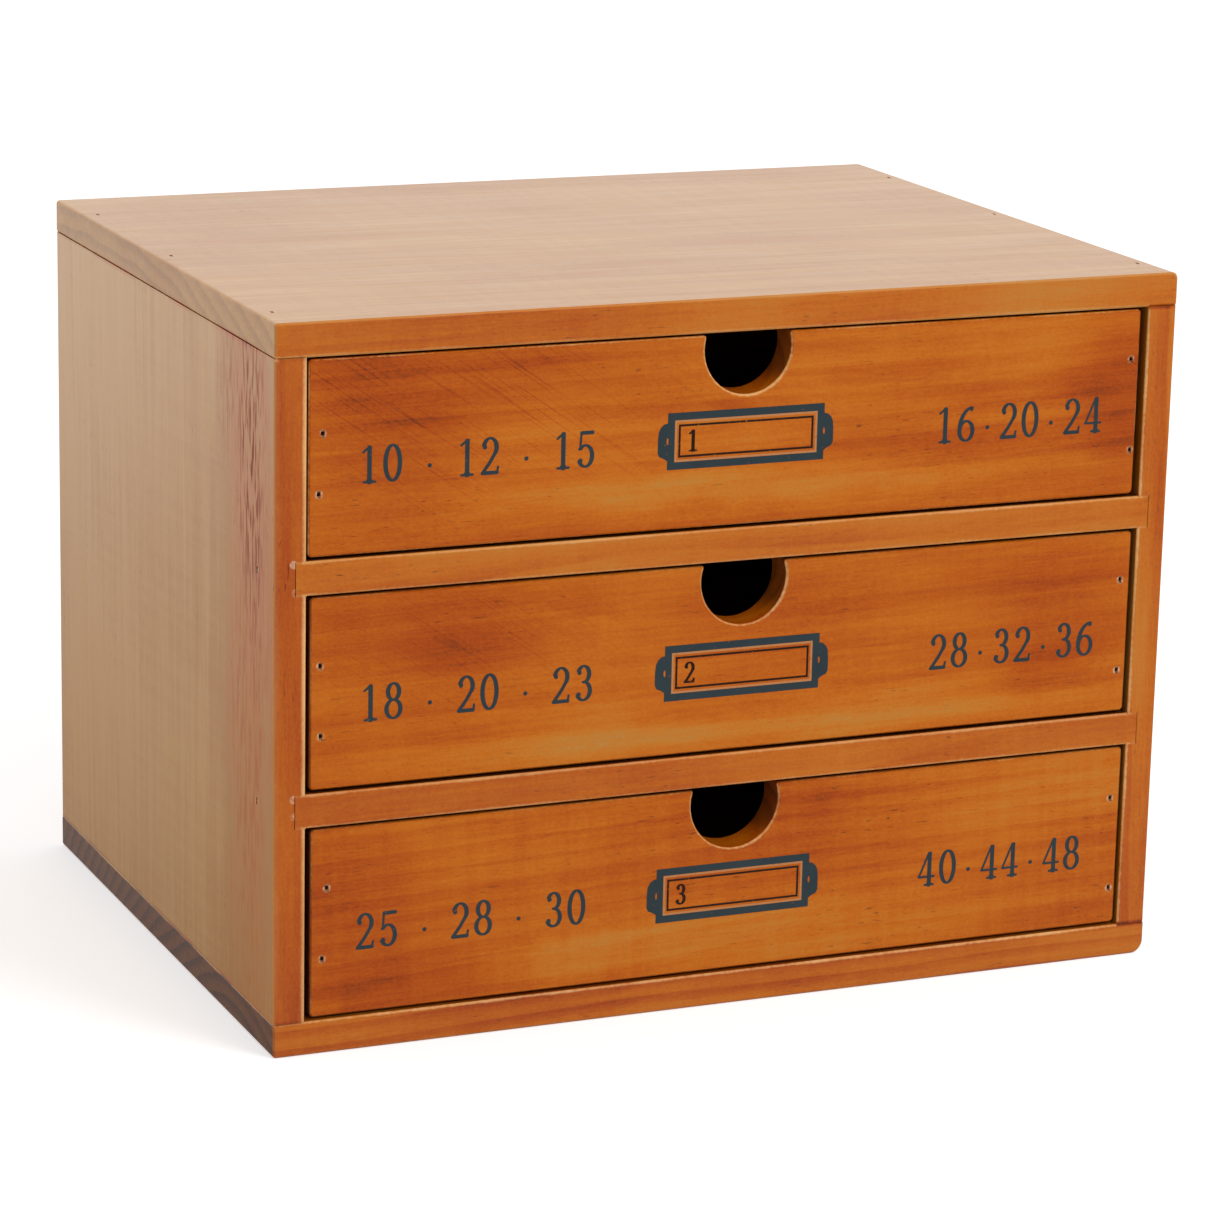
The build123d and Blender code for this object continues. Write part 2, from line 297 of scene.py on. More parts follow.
def wood_noise(tree, place, sizes, detail):
    """Noise with spots of three sizes, along the axes, in mm. Along an axis of size 0 it is endless."""
    scales = [1 / size if size else 0.0 for size in sizes]
    fitted = add(tree, "VectorMath", {0: place, 1: scales}, operation="MULTIPLY")
    return add(tree, "TexNoise", {"Vector": fitted, "Scale": 1.0, "Detail": detail})


def fade_in(tree, noise, mark):
    """0 where a mark's noise is low and 1 where it is high."""
    low, high = FADES_IN[mark]
    return add(tree, "MapRange", {"Value": noise, "From Min": low, "From Max": high})


def stained_pine_finish():
    """Grain in mm, X along it, goes in. Colour, roughness, height in mm and dryness come out."""
    tree = bpy.data.node_groups.new("stained pine finish", "ShaderNodeTree")
    tree.interface.new_socket("Grain", in_out="INPUT", socket_type="NodeSocketVector")
    for name in PINE_INPUTS:
        tree.interface.new_socket(name, in_out="INPUT", socket_type="NodeSocketFloat")
    tree.interface.new_socket("Color", in_out="OUTPUT", socket_type="NodeSocketColor")
    for name in ("Roughness", "Height", "Dry"):
        tree.interface.new_socket(name, in_out="OUTPUT", socket_type="NodeSocketFloat")
    given = tree.nodes.new("NodeGroupInput").outputs
    grain = given["Grain"]
    layer = {name: wood_noise(tree, grain, (length, width, width), detail)
             for name, (length, width, detail) in GRAIN_LAYERS.items()}

    # Growth rings: the distance from the heart of the tree, which wanders along the trunk.
    swayed = add(tree, "VectorMath", {0: layer["sway"].outputs["Color"], 1: (RING_WANDER,) * 3, 2: grain},
                 operation="MULTIPLY_ADD")
    across = add(tree, "VectorMath", {0: swayed, 1: (0, 1, 1)}, operation="MULTIPLY")
    radius = add(tree, "VectorMath", {0: across}, operation="LENGTH")
    turns = add(tree, "Math", {0: radius, 1: 1 / RING_PITCH}, operation="MULTIPLY")
    year = add(tree, "Math", {0: turns}, operation="FRACT")
    starts, darkest, ends = LATE_WOOD
    ripening = add(tree, "MapRange", {"Value": year, "From Min": starts, "From Max": darkest},
                   interpolation_type="SMOOTHSTEP")
    winter = add(tree, "MapRange", {"Value": year, "From Min": 1.0, "From Max": ends},
                 interpolation_type="SMOOTHSTEP")
    late_wood = add(tree, "Math", {0: ripening, 1: winter}, operation="MULTIPLY")
    ring_tone = add(tree, "Math", {0: late_wood, 1: given["Rings"], 2: given["Tone"]},
                    operation="MULTIPLY_ADD")

    figure = 0.0
    for name, swing in TONE_SWINGS.items():
        moved = add(tree, "MapRange", {"Value": layer[name], **NOISE_SPAN, "To Min": -swing, "To Max": swing},
                    clamp=False)
        figure = add(tree, "Math", {0: figure, 1: moved}, operation="ADD")

    # Runs, where thick stain dried in dark dashes along the grain that the lacquer didn't take to.
    dashed = fade_in(tree, layer["dashes"], "dashes")
    run = add(tree, "Math", {0: dashed, 1: given["Runs"]}, operation="MULTIPLY")

    # Scratches from coarse paper, at a slant across the grain.
    turned = add(tree, "VectorRotate", {"Vector": grain, "Angle": SCRATCH_SLOPE}, rotation_type="Y_AXIS")
    paper_marks = wood_noise(tree, turned, (SCRATCH_SIZE[0], 0, SCRATCH_SIZE[1]), 2.0)
    scratch = fade_in(tree, paper_marks, "scratches")
    scratched = add(tree, "Math", {0: scratch, 1: given["Scratches"]}, operation="MULTIPLY")

    # Chatter left by the planer, straight across the grain.
    beat = add(tree, "MapRange", {"Value": layer["chatter"], **NOISE_SPAN, "To Min": -0.5, "To Max": 0.5})

    tone = ring_tone
    for mark, strength in ((figure, given["Figure"]), (run, RUN_TONE), (scratched, SCRATCH_TONE),
                           (beat, given["Chatter"])):
        tone = add(tree, "Math", {0: mark, 1: strength, 2: tone}, operation="MULTIPLY_ADD")
    stain = add(tree, "ValToRGB", {"Fac": tone})
    ramp = stain.color_ramp.elements
    while len(ramp) < len(STAIN):
        ramp.new(0.5)
    for stop, (place, code) in zip(ramp, STAIN):
        stop.position = place
        stop.color = linear(code)

    # End grain drinks the stain, and shows the late wood darker still.
    ring_dark = add(tree, "Math", {0: late_wood, 1: LATE_WOOD_SOAK, 2: given["Soak"]},
                    operation="MULTIPLY_ADD")
    soaked = add(tree, "Math", {0: given["End grain"], 1: ring_dark}, operation="MULTIPLY")

    # Pores and resin ducts that filled with stain: short dark dashes, thinly strewn.
    dash = fade_in(tree, layer["pores"], "pores")
    strewn = fade_in(tree, layer["clouds"], "pore fields")
    pore = add(tree, "Math", {0: dash, 1: strewn}, operation="MULTIPLY")
    pore_shade = add(tree, "Math", {0: pore, 1: PORE_SHADE}, operation="MULTIPLY")
    run_shade = add(tree, "Math", {0: run, 1: RUN_SHADE}, operation="MULTIPLY")
    clogged = add(tree, "Math", {0: pore_shade, 1: run_shade}, operation="MAXIMUM")

    # Painted shade: faces inside the bays, and the fronts' edges and backs, go towards a near-black brown.
    # This stands in for the shade in the gaps between the drawers and the case.
    painted_gap_shade = add(tree, "Math", {0: given["Inside"], 1: INSIDE_SHADE}, operation="MULTIPLY")

    # Edges rubbed back to the wood, wider and harder where the block pressed more. The same mask carries the
    # painted light in the seams' grooves.
    ragged = add(tree, "TexNoise", {"Vector": grain, "Scale": 0.9, "Detail": 3.0})
    pressure = add(tree, "TexNoise", {"Vector": grain, "Scale": 0.045, "Detail": 2.0})
    wider, harder = [
        add(tree, "MapRange", {"Value": pressure, **PRESSURE_SPAN, "To Min": least, "To Max": most})
        for least, most in (WORN_WIDTHS, WORN_SHARES)]
    width = add(tree, "Math", {0: wider, 1: given["Worn width"]}, operation="MULTIPLY")
    jitter = add(tree, "MapRange", {"Value": ragged, **NOISE_SPAN, "To Min": -EDGE_RAGS, "To Max": EDGE_RAGS},
                 clamp=False)
    uneven = add(tree, "Math", {0: given["Edge"], 1: jitter}, operation="ADD")
    rubbed = add(tree, "MapRange", {"Value": uneven, "From Min": width, "From Max": EDGE_CORE},
                 interpolation_type="SMOOTHSTEP")
    pressed = add(tree, "Math", {0: rubbed, 1: harder}, operation="MULTIPLY")
    rub_and_groove_light = add(tree, "Math", {0: pressed, 1: given["Wear and groove light"]}, operation="MULTIPLY")

    # Crumbs of filler and dust caught in the lacquer, and a smear of it round each brad.
    cells = add(tree, "TexVoronoi", {"Vector": grain, "Scale": 1 / CRUMB_SPACING})
    size = add(tree, "Math", {0: cells.outputs["Color"], 1: CRUMB_SIZE / CRUMB_SPACING, 2: -SMALLEST_CRUMB},
               operation="MULTIPLY_ADD")
    inside = add(tree, "Math", {0: size, 1: cells.outputs["Distance"]}, operation="SUBTRACT")
    crumb = add(tree, "MapRange", {"Value": inside, "From Max": 0.01, "To Max": CRUMB_OPACITY})
    filler_out = add(tree, "MapRange", {"Value": given["Brad"], "From Min": FILLER_RING[0],
                     "From Max": FILLER_RING[1]}, interpolation_type="SMOOTHSTEP")
    broken = add(tree, "MapRange", {"Value": ragged, "From Min": 0.35, "From Max": 0.6,
                 "To Min": FILLER_OPACITY[0], "To Max": FILLER_OPACITY[1]})
    smear = add(tree, "Math", {0: filler_out, 1: broken}, operation="MULTIPLY")
    pale = add(tree, "Math", {0: crumb, 1: smear}, operation="MAXIMUM")

    color = stain
    for share, layered in ((soaked, END_GRAIN_STAIN), (clogged, PORE_STAIN), (painted_gap_shade, GAP_SHADE_BROWN),
                           (rub_and_groove_light, RUBBED_WOOD), (pale, CRUMB)):
        color = add(tree, "Mix", {"Factor": share, "A": color, "B": layered}, data_type="RGBA")

    height = 0.0
    reliefs = [(layer[name], relief) for name, relief in RELIEF.items()]
    for mark, relief in (*reliefs, (pore, PORE_DEPTH), (scratched, SCRATCH_DEPTH)):
        height = add(tree, "Math", {0: mark, 1: relief, 2: height}, operation="MULTIPLY_ADD")

    dulled = add(tree, "MapRange", {"Value": layer["streaks"], **NOISE_SPAN, "To Min": SATIN[0],
                 "To Max": SATIN[1]})
    for mark, duller in ((rub_and_groove_light, WORN_DULLS), (given["End grain"], END_GRAIN_DULLS)):
        dulled = add(tree, "Math", {0: mark, 1: duller, 2: dulled}, operation="MULTIPLY_ADD")
    result = tree.nodes.new("NodeGroupOutput").inputs
    for name, node in {"Color": color, "Roughness": dulled, "Height": height, "Dry": run}.items():
        tree.links.new(next(s for s in node.outputs if s.enabled), result[name])
    return tree


PINE_FINISH = stained_pine_finish()
print("stained pine finish:", len(PINE_FINISH.nodes), "nodes")


# %% [markdown]
# ## One board, one cut of the tree
#
# Every board gets a material of its own, because each was cut from another place in a tree.
# The material turns the object's place into millimetres along the grain, and shifts it to
# that board's own place beside the heart of the tree. The rest of it measures things that
# only this board knows: how near its edges are, where its brads are, and where the stain
# went on thick or thin.

# %% Measure edges, rims and brads inside a material
FAR = 50.0
NO_BRAD = 99.0


def place_in_mm(tree):
    """Where a point of the object is, in mm."""
    seat = add(tree, "TexCoord").outputs["Object"]
    return add(tree, "VectorMath", {0: seat, "Scale": 1 / MM}, operation="SCALE")


def depths(tree, place, low, high):
    """How deep a point lies inside a box along each axis, in mm, below 0 outside it."""
    offset = add(tree, "VectorMath", {0: place, 1: (low + high) / 2}, operation="SUBTRACT")
    size = add(tree, "VectorMath", {0: offset}, operation="ABSOLUTE")
    depth = add(tree, "VectorMath", {0: (high - low) / 2, 1: size}, operation="SUBTRACT")
    return add(tree, "SeparateXYZ", {0: depth}).outputs


def depth_inside(tree, place, low, high):
    """How deep a point lies inside a box, from its nearest face."""
    x, y, z = depths(tree, place, low, high)
    nearer = add(tree, "Math", {0: x, 1: y}, operation="MINIMUM")
    return add(tree, "Math", {0: nearer, 1: z}, operation="MINIMUM")


def edge_distance(tree, place, low, high, joined):
    """How far a point is from the board's nearest edge. Along joined axes the board goes on."""
    spread = Vector([FAR if axis in joined else 0.0 for axis in "XYZ"])
    x, y, z = depths(tree, place, low - spread, high + spread)
    nearer = add(tree, "Math", {0: x, 1: y}, operation="MINIMUM")
    farther = add(tree, "Math", {0: x, 1: y}, operation="MAXIMUM")
    second = add(tree, "Math", {0: farther, 1: z}, operation="MINIMUM")
    return add(tree, "Math", {0: nearer, 1: second}, operation="MAXIMUM")


def distance(tree, place, middle, weights):
    """How far a point is from a middle, where each axis counts by its own weight."""
    offset = add(tree, "VectorMath", {0: place, 1: middle}, operation="SUBTRACT")
    weighed = add(tree, "VectorMath", {0: offset, 1: weights}, operation="MULTIPLY")
    return add(tree, "VectorMath", {0: weighed}, operation="LENGTH")


def notch_distances(tree, place, centre, radius):
    """How far a point is from the wall of a round notch, and from its front rim."""
    out = distance(tree, place, centre, (1, 0, 1))
    beside = add(tree, "Math", {0: out, 1: radius}, operation="SUBTRACT")
    wall = add(tree, "Math", {0: beside}, operation="ABSOLUTE")
    offset = add(tree, "VectorMath", {0: place, 1: centre}, operation="SUBTRACT")
    depth = add(tree, "SeparateXYZ", {0: offset}).outputs["Y"]
    return wall, add(tree, "Math", {0: wall, 1: depth}, operation="MAXIMUM")


def brads_in(node_name):
    """The middle of each brad of a node, and the two directions across its shank, in mm."""
    bm = bmesh.new()
    bm.from_mesh(nodes[node_name].data)
    bmesh.ops.remove_doubles(bm, verts=bm.verts, dist=1e-6)
    waiting = set(bm.verts)
    found = []
    while waiting:
        reached = [waiting.pop()]
        for vert in reached:
            for edge in vert.link_edges:
                other = edge.other_vert(vert)
                if other in waiting:
                    waiting.remove(other)
                    reached.append(other)
        low = Vector([min(v.co[i] for v in reached) for i in range(3)]) / MM
        high = Vector([max(v.co[i] for v in reached) for i in range(3)]) / MM
        size = high - low
        across = Vector([0.0 if extent == max(size) else 1.0 for extent in size])
        found.append(((low + high) / 2, across))
    bm.free()
    return sorted(found, key=lambda brad: tuple(brad[0]))


def brad_distance(tree, place, brads):
    """How far a point is from the nearest of these brads' shanks."""
    nearest = None
    for middle, across in brads:
        away = distance(tree, place, middle, across)
        if nearest:
            away = add(tree, "Math", {0: nearest, 1: away}, operation="MINIMUM")
        nearest = away
    return nearest


print(len(brads_in("top_brads")), "brads in the top")


# %% [markdown]
# Where the stain went on thicker or thinner is a list of soft oval patches for each board: a
# middle, a half width and half height in mm, and how far the tone moves there. On the left
# side the patches are painted reflection. A little noise bends their outlines, so none looks like an oval.

# %% Patches of thicker and thinner stain
PATCH_BEND = 16.0
PATCH_BEND_SIZE = 38.0
PATCH_ENDS, PATCH_WHOLE = 1.3, 0.2  # in half widths from its middle


def patch_tone(tree, place, tone, patches):
    """The board's tone, with its patches added. A half size of 0 makes no difference there."""
    bend = add(tree, "TexNoise", {"Vector": place, "Scale": 1 / PATCH_BEND_SIZE, "Detail": 3.0})
    centred = add(tree, "VectorMath", {0: bend.outputs["Color"], 1: (0.5,) * 3}, operation="SUBTRACT")
    bent = add(tree, "VectorMath", {0: centred, 1: (PATCH_BEND,) * 3, 2: place}, operation="MULTIPLY_ADD")
    total = tone
    for middle, half, amount in patches:
        away = distance(tree, bent, middle, Vector([1 / extent if extent else 0.0 for extent in half]))
        share = add(tree, "MapRange", {"Value": away, "From Min": PATCH_ENDS, "From Max": PATCH_WHOLE,
                    "To Max": amount}, interpolation_type="SMOOTHSTEP")
        total = add(tree, "Math", {0: total, 1: share}, operation="ADD")
    return total


# %% [markdown]
# ## The boards
#
# Each entry of CASE is one board: which way its grain runs, where it lay beside the heart of the
# tree, where it goes on past its own edges into a joint, and its patches of stain, which on the
# left side are painted reflection. Brads are found in the CAD model's own meshes, so their smears of filler
# sit where the brads are.

# %% Where stain fills the seams, and where they are painted light
SEAM_HEIGHTS = (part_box("bottom_panel")[1].z / MM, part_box("top_panel")[0].z / MM)
SEAM_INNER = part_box("right_side")[0].x / MM
SEAM_BREAKS = 22.0
SEAM_HALF = (1.0, 0.4)  # mm from the seam to where its stain ends and is whole
SEAM_TONE = 0.35


def seam_masks(tree, place):
    """The seams where the top and the bottom lie on the sides: where stain fills them, and where they are
    painted pale against the groove's shade.
    """
    x, _, z = add(tree, "SeparateXYZ", {0: place}).outputs
    middle = sum(SEAM_HEIGHTS) / 2
    reach = (SEAM_HEIGHTS[1] - SEAM_HEIGHTS[0]) / 2
    from_middle = add(tree, "Math", {0: z, 1: middle}, operation="SUBTRACT")
    up_or_down = add(tree, "Math", {0: from_middle}, operation="ABSOLUTE")
    past = add(tree, "Math", {0: up_or_down, 1: reach}, operation="SUBTRACT")
    gap = add(tree, "Math", {0: past}, operation="ABSOLUTE")
    near = add(tree, "MapRange", {"Value": gap, "From Min": SEAM_HALF[0], "From Max": SEAM_HALF[1]})
    sideways = add(tree, "Math", {0: x}, operation="ABSOLUTE")
    on_side = add(tree, "Math", {0: sideways, 1: SEAM_INNER}, operation="GREATER_THAN")
    here = add(tree, "Math", {0: near, 1: on_side}, operation="MULTIPLY")
    stain_and_groove_light = add(tree, "TexNoise", {"Vector": place, "Scale": 1 / SEAM_BREAKS, "Detail": 2.0})
    shown = add(tree, "MapRange", {"Value": stain_and_groove_light, "From Min": 0.4, "From Max": 0.6, "To Min": 0.15})
    dark = add(tree, "Math", {0: here, 1: shown}, operation="MULTIPLY")
    return dark, add(tree, "Math", {0: here, 1: dark}, operation="SUBTRACT")


print("seams", [round(height, 1) for height in SEAM_HEIGHTS], "mm up")

# %% The finish of one board
GRAIN_ORDER = {"X": "XYZ", "Y": "YZX", "Z": "ZXY"}
NOTCH_WEARS_WIDER = 1.5
OUTER_WEAR = 0.15
BARE_WALL = (0.3, 0.8)  # mm from a notch's wall, which keeps the colour of the front


def pine_nodes(tree, node_name, grain, heart, joined="", tone=0.5, front_tone=None, figure=1.0,
               rings=0.16, soak=0.5, worn_width=0.75, wear=0.85, run_out=1.0, chatter=0.04,
               brads=(), patches=(), front_spots=(), scratches=(), runs=(), notch=None,
               unsanded=None, painted_shade_share=1.0, opening=None, seams=False):
    """The stained pine finish of one board, as its group node."""
    place = place_in_mm(tree)
    facing = add(tree, "SeparateXYZ", {0: add(tree, "TexCoord").outputs["Normal"]}).outputs
    parts = add(tree, "SeparateXYZ", {0: place}).outputs
    turned = add(tree, "CombineXYZ", {index: parts[axis] for index, axis in enumerate(GRAIN_ORDER[grain])})
    cut = add(tree, "Mapping", {"Vector": turned, "Location": heart,
              "Rotation": (0, math.radians(run_out), math.radians(run_out / 2))})
    along = add(tree, "Math", {0: facing[grain]}, operation="ABSOLUTE")
    end_grain = add(tree, "MapRange", {"Value": along, "From Min": 0.6, "From Max": 0.85})

    low, high = (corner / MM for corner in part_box(node_name))
    edge = edge_distance(tree, place, low, high, joined)
    if notch:
        wall, rim = notch_distances(tree, place, *notch)
        edge = add(tree, "Math", {0: edge, 1: NOTCH_WEARS_WIDER}, operation="MULTIPLY")
        edge = add(tree, "Math", {0: edge, 1: rim}, operation="MINIMUM")
    board_tone = patch_tone(tree, place, tone, patches)
    board_figure = figure
    if front_tone is not None:
        in_front = add(tree, "MapRange", {"Value": facing["Y"], "From Min": -0.5, "From Max": -0.9})
        front_patches = patch_tone(tree, place, front_tone, front_spots)
        board_tone = add(tree, "Mix", {"Factor": in_front, "A": board_tone, "B": front_patches})
        board_figure = add(tree, "MapRange", {"Value": in_front, "To Min": figure, "To Max": 1.0})
    wear_and_groove_light = wear
    if opening:
        rim_depth = depth_inside(tree, place, *opening)
        wear_and_groove_light = add(tree, "MapRange", {"Value": rim_depth, "From Max": 0.3, "To Min": OUTER_WEAR,
                         "To Max": wear})
    if seams:
        seam, stain_and_groove_light = seam_masks(tree, place)
        board_tone = add(tree, "Math", {0: seam, 1: SEAM_TONE, 2: board_tone}, operation="MULTIPLY_ADD")
        whole = add(tree, "Math", {0: 1.0, 1: seam}, operation="SUBTRACT")
        wear_and_groove_light = add(tree, "Math", {0: whole, 1: wear_and_groove_light}, operation="MULTIPLY")
        # Where no stain fills the seam it is painted pale like rubbed wood: painted light that cancels the
        # shade in the groove there.
        wear_and_groove_light = add(tree, "Math", {0: wear_and_groove_light, 1: stain_and_groove_light}, operation="MAXIMUM")
    inside = 0.0
    # Painted shade: inside this box the faces are darkened for the gaps, and their edges get no rubbed wear.
    if unsanded:
        cover = depth_inside(tree, place, *unsanded)
        covered = add(tree, "MapRange", {"Value": cover, "From Max": 0.3})
        if notch:
            off_wall = add(tree, "MapRange", {"Value": wall, "From Min": BARE_WALL[0],
                           "From Max": BARE_WALL[1]})
            covered = add(tree, "Math", {0: covered, 1: off_wall}, operation="MULTIPLY")
        inside = add(tree, "Math", {0: covered, 1: painted_shade_share}, operation="MULTIPLY")
        bare = add(tree, "Math", {0: 1.0, 1: covered}, operation="SUBTRACT")
        wear_and_groove_light = add(tree, "Math", {0: bare, 1: wear_and_groove_light}, operation="MULTIPLY")
    return add(tree, "Group", {
        "Grain": cut, "Tone": board_tone, "Figure": board_figure, "Rings": rings, "End grain": end_grain,
        "Soak": soak, "Edge": edge, "Worn width": worn_width, "Wear and groove light": wear_and_groove_light, "Inside": inside,
        "Scratches": patch_tone(tree, place, 0.0, scratches) if scratches else 0.0,
        "Runs": patch_tone(tree, place, 0.0, runs) if runs else 0.0, "Chatter": chatter,
        "Brad": brad_distance(tree, place, brads) if brads else NO_BRAD}, node_tree=PINE_FINISH)


# %% Lacquer over it
LACQUER_IOR = 1.5
LACQUER_SPECULAR = 0.4
COAT = 0.4
FRONT_SPECULAR = 0.2  # the fronts gleam less than the case
FRONT_COAT = 0.3
DRY_SPECULAR = 0.05
COAT_ROUGHNESS = 0.25


def lacquer(tree, color, finish, specular=LACQUER_SPECULAR, coat=COAT, has_runs=False):
    """Satin lacquer over a colour, with the board's own roughness and relief."""
    bump = add(tree, "Bump", {"Height": finish.outputs["Height"], "Distance": MM, "Strength": 1.0})
    if has_runs:
        specular, coat = [
            add(tree, "MapRange", {"Value": finish.outputs["Dry"], "To Min": level, "To Max": dry})
            for level, dry in ((specular, DRY_SPECULAR), (coat, 0.0))]
    shader = add(tree, "BsdfPrincipled", {
        "Base Color": color, "Roughness": finish.outputs["Roughness"], "Normal": bump,
        "IOR": LACQUER_IOR, "Specular IOR Level": specular, "Coat Weight": coat,
        "Coat Roughness": COAT_ROUGHNESS, "Coat IOR": LACQUER_IOR})
    add(tree, "OutputMaterial", {"Surface": shader})


def dress(node_name, material):
    """Gives a CAD node its material, and keeps its shape as it is."""
    mesh = nodes[node_name].data
    mesh.materials.clear()
    mesh.materials.append(material)


def stained_board(node_name, **board):
    """Dresses one board in its own stained pine."""
    material, tree = new_material("stained pine " + node_name.replace("_", " "))
    finish = pine_nodes(tree, node_name, **board)
    if node_name.endswith("front"):
        lacquer(tree, finish.outputs["Color"], finish, FRONT_SPECULAR, FRONT_COAT)
    else:
        lacquer(tree, finish.outputs["Color"], finish, has_runs="runs" in board)
    dress(node_name, material)


print("lacquer: coat", COAT, "on the case,", FRONT_COAT, "on the fronts")

# %% The case's boards
FRONT_Y, REAR_Y = (corner.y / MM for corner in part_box("left_side"))
LEFT_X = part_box("left_side")[0].x / MM
# The bays of the case, whose inner faces get painted shade.
BAYS = (Vector((-SEAM_INNER - 0.15, FRONT_Y + 0.55, SEAM_HEIGHTS[0] - 0.15)),
        Vector((SEAM_INNER + 0.15, REAR_Y + 1, SEAM_HEIGHTS[1] + 0.15)))
OPENINGS = (Vector((-SEAM_INNER - 1.4, FRONT_Y - 1, SEAM_HEIGHTS[0] - 1.0)),
            Vector((SEAM_INNER + 1.2, FRONT_Y + 3, SEAM_HEIGHTS[1] + 1.0)))
# Painted reflection: the left side is darker towards its front and paler towards its back, following the
# backdrop's gleam in its lacquer.
LEFT_REFLECTION_PATCHES = [
    ((LEFT_X, -84, 95), (0, 42, 140), 0.2),
    ((LEFT_X, 60, 120), (0, 50, 140), -0.1),
]
LEFT_RUNS = [
    ((LEFT_X, -80, 160), (0, 13, 50), 0.85),
    ((LEFT_X, -60, 172), (0, 9, 22), 0.45),
    ((LEFT_X, -78, 80), (0, 17, 90), 0.28),
]
HOUSING_MARKS = [  # filler at the corners of the shelf housings, seen from the front
    (Vector((x, 0, z)), Vector((1, 0, 1)))
    for x, z in ((-122.4, 130.4), (-121.8, 123.1), (-122.2, 69.0), (-122.0, 64.5))
]
# The top's and the left side's faces get a far paler tone than their front edges: partly painted sheen, added
# to the backdrop's real reflection in their lacquer.
CASE = {
    "top_panel": dict(
        grain="X", heart=(400, -50, 120), tone=0.09, front_tone=0.44, figure=0.4, rings=0.05,
        soak=0.06, worn_width=1.1, wear=0.45, seams=True, brads=brads_in("top_brads"),
        front_spots=[((-100, FRONT_Y, 187), (70, 0, 30), 0.12), ((90, FRONT_Y, 187), (50, 0, 30), -0.08)]),
    "bottom_panel": dict(
        grain="X", heart=(-900, 60, 90), tone=0.45, front_tone=0.5, rings=0.2, soak=0.72,
        worn_width=0.9, seams=True, brads=brads_in("bottom_brads")),
    "left_side": dict(
        grain="Z", heart=(150, 178, 60), joined="Z", tone=0.06, front_tone=0.58, figure=0.42,
        rings=0.04, worn_width=1.8, wear=0.95, seams=True, patches=LEFT_REFLECTION_PATCHES, runs=LEFT_RUNS,
        front_spots=[((LEFT_X, FRONT_Y, 15), (30, 0, 45), 0.16), ((LEFT_X, FRONT_Y, 165), (30, 0, 25), 0.06)],
        brads=brads_in("left_side_brads") + HOUSING_MARKS),
    "right_side": dict(
        grain="Z", heart=(1150, -60, -30), joined="Z", tone=0.2, front_tone=0.45, rings=0.15,
        worn_width=0.8, seams=True, brads=brads_in("right_side_brads")),
    "upper_shelf": dict(
        grain="X", heart=(2100, 30, -160), joined="X", tone=0.44, rings=0.1, worn_width=0.9, wear=0.55),
    "lower_shelf": dict(
        grain="X", heart=(2900, -50, -20), joined="X", tone=0.5, rings=0.1, worn_width=0.9, wear=0.55),
}
for name, board in CASE.items():
    stained_board(name, unsanded=BAYS, opening=OPENINGS, **board)
print(len(CASE), "boards of the case stained")

# %% [markdown]
# ### Drawer fronts
#
# The three fronts are the face of the box, so their stain is laid out as on the real one:
# redder and darker in the upper left corner and at the right-hand end, golden along the
# lower edge. The top and the middle front still show slanting sandpaper scratches.

# %% The drawers' boards
NOTCHES = {  # the bore's middle right of the front's own and below its upper edge, and its radius
    "top_drawer": (2.2, 3.8, 12.3),
    "middle_drawer": (2.3, 4.5, 12.2),
    "bottom_drawer": (1.1, 4.3, 12.7),
}
DRAWERS = ("top_drawer", "middle_drawer", "bottom_drawer")
FRONT_PATCHES = {  # middle (x, height above the front's lower edge), half width and height, tone
    "top_drawer": [((-88, 42), (50, 17), 0.19), ((-100, 30), (24, 22), 0.08), ((2, 32.5), (10, 3), 0.16),
                   ((112, 30), (20, 22), 0.36), ((85, 31), (40, 4), 0.12), ((10, 10), (100, 5), -0.26)],
    "middle_drawer": [((-90, 41), (48, 14), 0.18), ((78, 42), (50, 12), 0.10), ((106, 25), (22, 24), 0.10),
                      ((92, 13), (14, 7), 0.12), ((-70, 6), (60, 8), -0.10), ((20, 6), (90, 7), -0.16)],
    "bottom_drawer": [((-108, 26), (22, 30), 0.16), ((-92, 7), (34, 10), 0.20), ((-42, 10), (15, 9), -0.14),
                      ((10, 8), (80, 9), -0.16), ((90, 40), (60, 14), -0.14)],
}
FRONT_SCRATCHES = {
    "top_drawer": [((-75, 36), (60, 26), 0.8), ((0, 25), (130, 40), 0.2)],
    "middle_drawer": [((-80, 36), (50, 20), 0.4), ((0, 25), (130, 40), 0.15)],
    "bottom_drawer": [((0, 25), (130, 40), 0.15)],
}
FRONT_HEARTS = {
    "top_drawer": (300, 45, -120),
    "middle_drawer": (1700, 30, -135),
    "bottom_drawer": (2500, 60, 20),
}
FRONT_CHATTER = {"top_drawer": 0.02, "middle_drawer": 0.03, "bottom_drawer": 0.06}
# how far behind each front's face the painted shade of the gaps begins
DARK_FROM = {"top_drawer": 0.4, "middle_drawer": 0.05, "bottom_drawer": 0.05}  # mm behind the face
BEHIND_FRONT = {  # grain, place beside the heart of the tree, and tone
    "left_side": ("Y", (3000, 40, 150), 0.42),
    "right_side": ("Y", (5000, 30, -80), 0.45),
    "back": ("X", (7000, -40, -60), 0.42),
}
FURTHER_UP_THE_TREE = Vector((400, 0, 0))  # from one drawer's boards to the next one's


def on_front(node_name, spots):
    """Spots given from the front's lower edge, as places on the board in mm."""
    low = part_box(node_name)[0] / MM
    return [((x, low.y, low.z + z), (half_width, 0, half_height), amount)
            for (x, z), (half_width, half_height), amount in spots]


